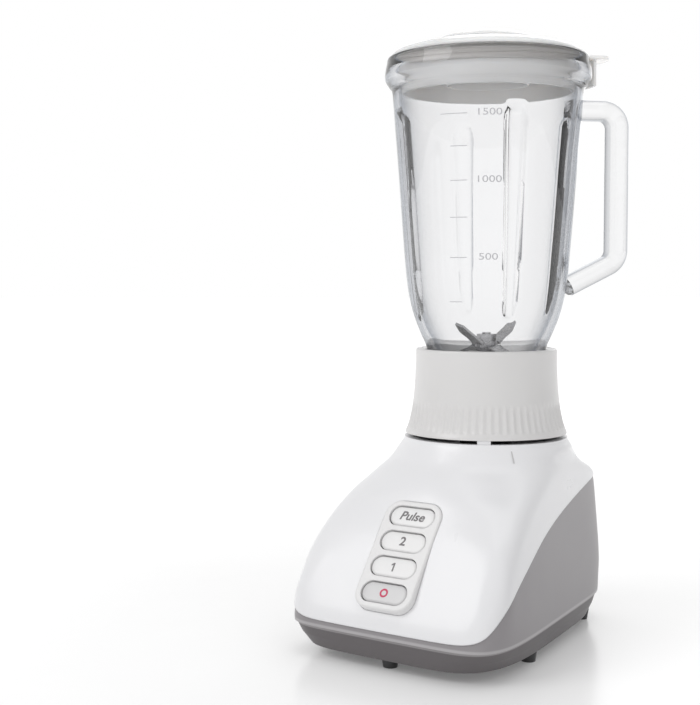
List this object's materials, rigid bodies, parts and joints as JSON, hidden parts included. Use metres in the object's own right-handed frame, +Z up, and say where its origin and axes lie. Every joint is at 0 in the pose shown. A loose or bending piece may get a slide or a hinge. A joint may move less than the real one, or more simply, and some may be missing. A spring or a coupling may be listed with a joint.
{
  "type": "countertop blender",
  "caption": "Upright kitchen blender: sloping push-button motor base, flared screw collar with blades, glass jug with handle, and a domed lid with a filler cap.",
  "frame": {"origin": "under the middle of the object's box, on the surface that the feet stand on", "axes": "+Z up, -Y towards the button panel at the front, +X to the right of the person who faces it"},
  "size_m": [0.158, 0.2217, 0.4152],
  "materials": {
    "white_plastic": "gloss",
    "side_grey": "satin",
    "pan_grey": "satin",
    "foot_rubber": "semi-gloss",
    "zinc_screw": "plain",
    "panel_plastic": "satin",
    "button_plastic": "satin",
    "black_plastic": "matt",
    "inlet_rubber": "matt",
    "lamination": "matt",
    "copper_wire": "lacquered",
    "bracket_metal": "die-cast",
    "bronze": "sintered",
    "carbon": "matt",
    "mount_rubber": "matt",
    "seal_rubber": "matt",
    "shaft_steel": "ground",
    "drive_rubber": "matt",
    "collar_plastic": "satin",
    "carrier_plastic": "satin",
    "blade_steel": "satin",
    "clear_glass": "clear",
    "lid_plastic": "gloss",
    "cap_plastic": "gloss"
  },
  "bodies": {
    "base": {"hood": "white_plastic", "side_skirt": "side_grey", "bottom_pan": "pan_grey", "rubber_feet": "foot_rubber", "base_screws": "zinc_screw", "button_panel": "panel_plastic", "switch_block": "black_plastic", "cord_gland": "inlet_rubber", "thermal_cutout": "black_plastic", "terminal_block": "black_plastic", "motor_stator": "lamination", "field_windings": "copper_wire", "motor_upper_bracket": "bracket_metal", "motor_lower_bracket": "bracket_metal", "upper_bearing": "bronze", "lower_bearing": "bronze", "brush_holders": "bronze", "carbon_brushes": "carbon", "motor_mounts": "mount_rubber", "motor_bolts": "zinc_screw", "shaft_seal": "mount_rubber"},
    "rotor": {"rotor_core": "lamination", "rotor_windings": "copper_wire", "commutator": "copper_wire", "motor_shaft": "shaft_steel", "cooling_fan": "black_plastic", "drive_coupling": "drive_rubber"},
    "pulse_key": {"pulse_button": "button_plastic"},
    "speed_two_key": {"speed_two_button": "button_plastic"},
    "speed_one_key": {"speed_one_button": "button_plastic"},
    "off_key": {"off_button": "button_plastic"},
    "collar": {"jug_collar": "collar_plastic", "blade_carrier": "carrier_plastic", "jug_gasket": "seal_rubber", "blade_bushing": "bronze", "blade_seal": "mount_rubber"},
    "blades": {"blade_shaft": "shaft_steel", "lower_blade": "blade_steel", "upper_blade": "blade_steel", "blade_washer": "shaft_steel", "blade_nut": "shaft_steel", "jug_coupling": "drive_rubber"},
    "jug": {"glass_jug": "clear_glass"},
    "lid_top": {"lid": "lid_plastic", "lid_gasket": "seal_rubber"},
    "cap": {"filler_cap": "cap_plastic"}
  },
  "joints": [
    {"name": "motor_spin", "type": "hinge", "parent": "base", "child": "rotor", "pos_m": [0, 0.022, 0.08], "axis": [0, 0, 1], "continuous": true},
    {"name": "pulse_press", "type": "slide", "parent": "base", "child": "pulse_key", "axis": [0, 0.8039, -0.5948], "range_m": [0, 0.0025], "stiffness_N_per_m": 400},
    {"name": "speed_two_press", "type": "slide", "parent": "base", "child": "speed_two_key", "axis": [0, 0.8039, -0.5948], "range_m": [0, 0.0025], "stiffness_N_per_m": 400},
    {"name": "speed_one_press", "type": "slide", "parent": "base", "child": "speed_one_key", "axis": [0, 0.8039, -0.5948], "range_m": [0, 0.0025], "stiffness_N_per_m": 400},
    {"name": "off_press", "type": "slide", "parent": "base", "child": "off_key", "axis": [0, 0.8039, -0.5948], "range_m": [0, 0.0025], "stiffness_N_per_m": 400},
    {"name": "jug_lift", "type": "slide", "parent": "base", "child": "collar", "axis": [0, 0, 1], "range_m": [0, 0.06]},
    {"name": "blade_spin", "type": "hinge", "parent": "collar", "child": "blades", "pos_m": [0, 0.022, 0.2], "axis": [0, 0, 1], "continuous": true},
    {"name": "jug_unscrew", "type": "hinge", "parent": "collar", "child": "jug", "pos_m": [0, 0.022, 0.19], "axis": [0, 0, 1], "range_deg": [0, 90]},
    {"name": "lid_lift", "type": "slide", "parent": "jug", "child": "lid_top", "axis": [0, 0, 1], "range_m": [0, 0.035]},
    {"name": "cap_lift", "type": "slide", "parent": "lid_top", "child": "cap", "axis": [0, 0, 1], "range_m": [0, 0.025]}
  ],
  "couplings": [
    {"joint": "blade_spin", "follows": "motor_spin", "ratio": 1}
  ]
}
